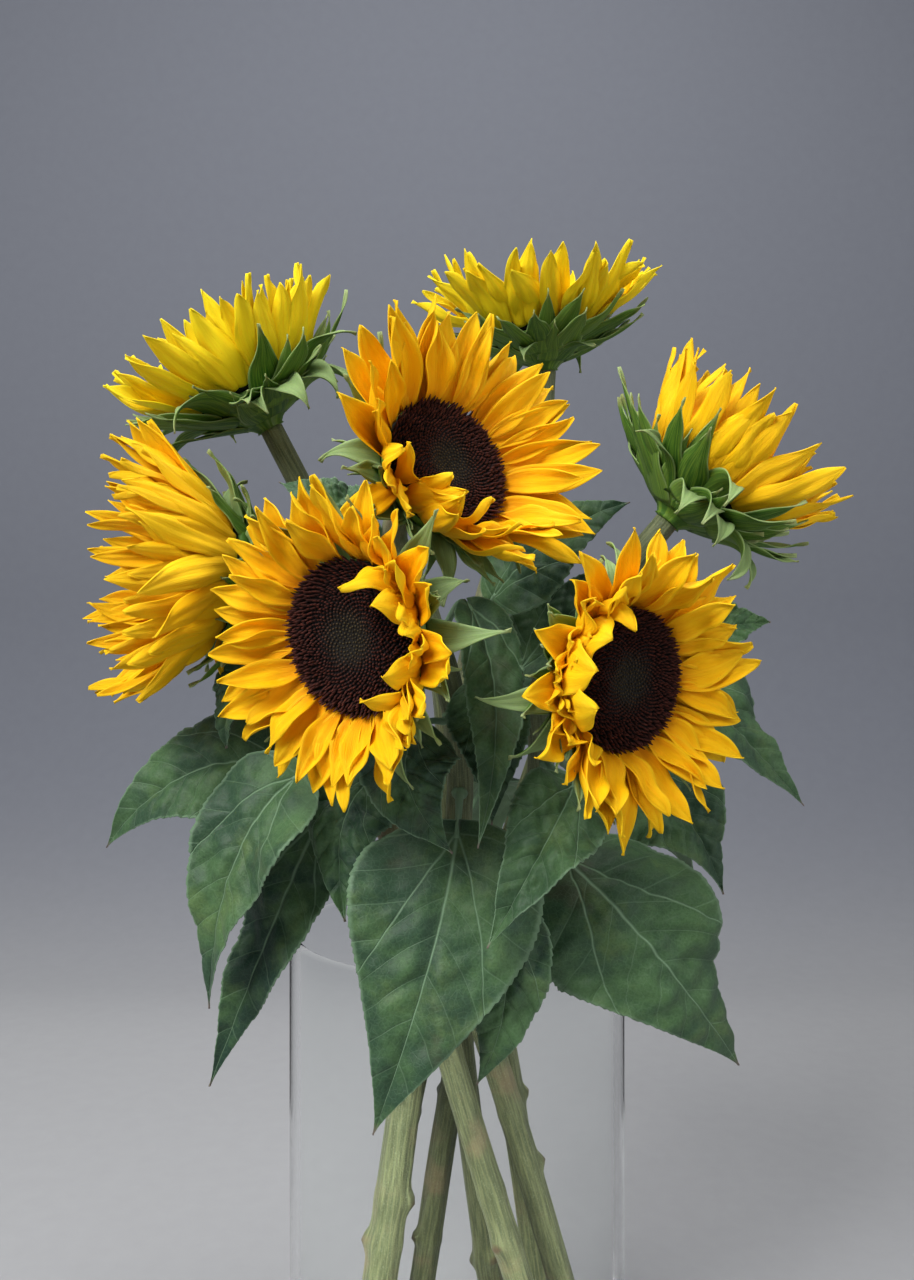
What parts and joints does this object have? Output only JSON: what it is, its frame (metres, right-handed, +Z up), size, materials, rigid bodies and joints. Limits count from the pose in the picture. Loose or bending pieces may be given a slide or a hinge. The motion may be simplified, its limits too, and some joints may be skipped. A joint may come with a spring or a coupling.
{
  "type": "sunflowers in a vase",
  "caption": "Cut sunflowers with pointed yellow petals, dark discs and large hanging leaves, their stems crossing in a tall straight clear-glass vase.",
  "frame": {"origin": "centre of the vase's flat foot, on the surface that it stands on", "axes": "+Z up along the vase's axis, +X to the right and -Y towards the viewer of the bouquet's best side"},
  "size_m": [0.4054, 0.3429, 0.6679],
  "materials": {
    "vase_glass": "polished",
    "stem_green": "matte",
    "bract_green": "satin",
    "disc_brown": "matte",
    "petal_gold": "satin",
    "petal_lemon": "satin",
    "leaf_green": "satin"
  },
  "bodies": {
    "root": {"flower_1_bracts": "bract_green", "flower_1_disc": "disc_brown", "flower_1_leaf_1": "leaf_green", "flower_1_leaf_2": "leaf_green", "flower_1_leaf_3": "leaf_green", "flower_1_leaf_4": "leaf_green", "flower_1_petals": "petal_lemon", "flower_1_stem": "stem_green", "flower_2_bracts": "bract_green", "flower_2_disc": "disc_brown", "flower_2_leaf_1": "leaf_green", "flower_2_leaf_2": "leaf_green", "flower_2_petals": "petal_lemon", "flower_2_stem": "stem_green", "flower_3_bracts": "bract_green", "flower_3_disc": "disc_brown", "flower_3_leaf_1": "leaf_green", "flower_3_leaf_2": "leaf_green", "flower_3_leaf_3": "leaf_green", "flower_3_petals": "petal_gold", "flower_3_stem": "stem_green", "flower_4_bracts": "bract_green", "flower_4_disc": "disc_brown", "flower_4_leaf_1": "leaf_green", "flower_4_leaf_2": "leaf_green", "flower_4_leaf_3": "leaf_green", "flower_4_leaf_4": "leaf_green", "flower_4_petals": "petal_gold", "flower_4_stem": "stem_green", "flower_5_bracts": "bract_green", "flower_5_disc": "disc_brown", "flower_5_leaf_1": "leaf_green", "flower_5_leaf_2": "leaf_green", "flower_5_leaf_3": "leaf_green", "flower_5_leaf_4": "leaf_green", "flower_5_leaf_5": "leaf_green", "flower_5_petals": "petal_gold", "flower_5_stem": "stem_green", "flower_6_bracts": "bract_green", "flower_6_disc": "disc_brown", "flower_6_leaf_1": "leaf_green", "flower_6_leaf_2": "leaf_green", "flower_6_petals": "petal_gold", "flower_6_stem": "stem_green", "flower_7_bracts": "bract_green", "flower_7_disc": "disc_brown", "flower_7_leaf_1": "leaf_green", "flower_7_leaf_2": "leaf_green", "flower_7_leaf_3": "leaf_green", "flower_7_leaf_4": "leaf_green", "flower_7_petals": "petal_gold", "flower_7_stem": "stem_green", "vase": "vase_glass"}
  },
  "joints": []
}
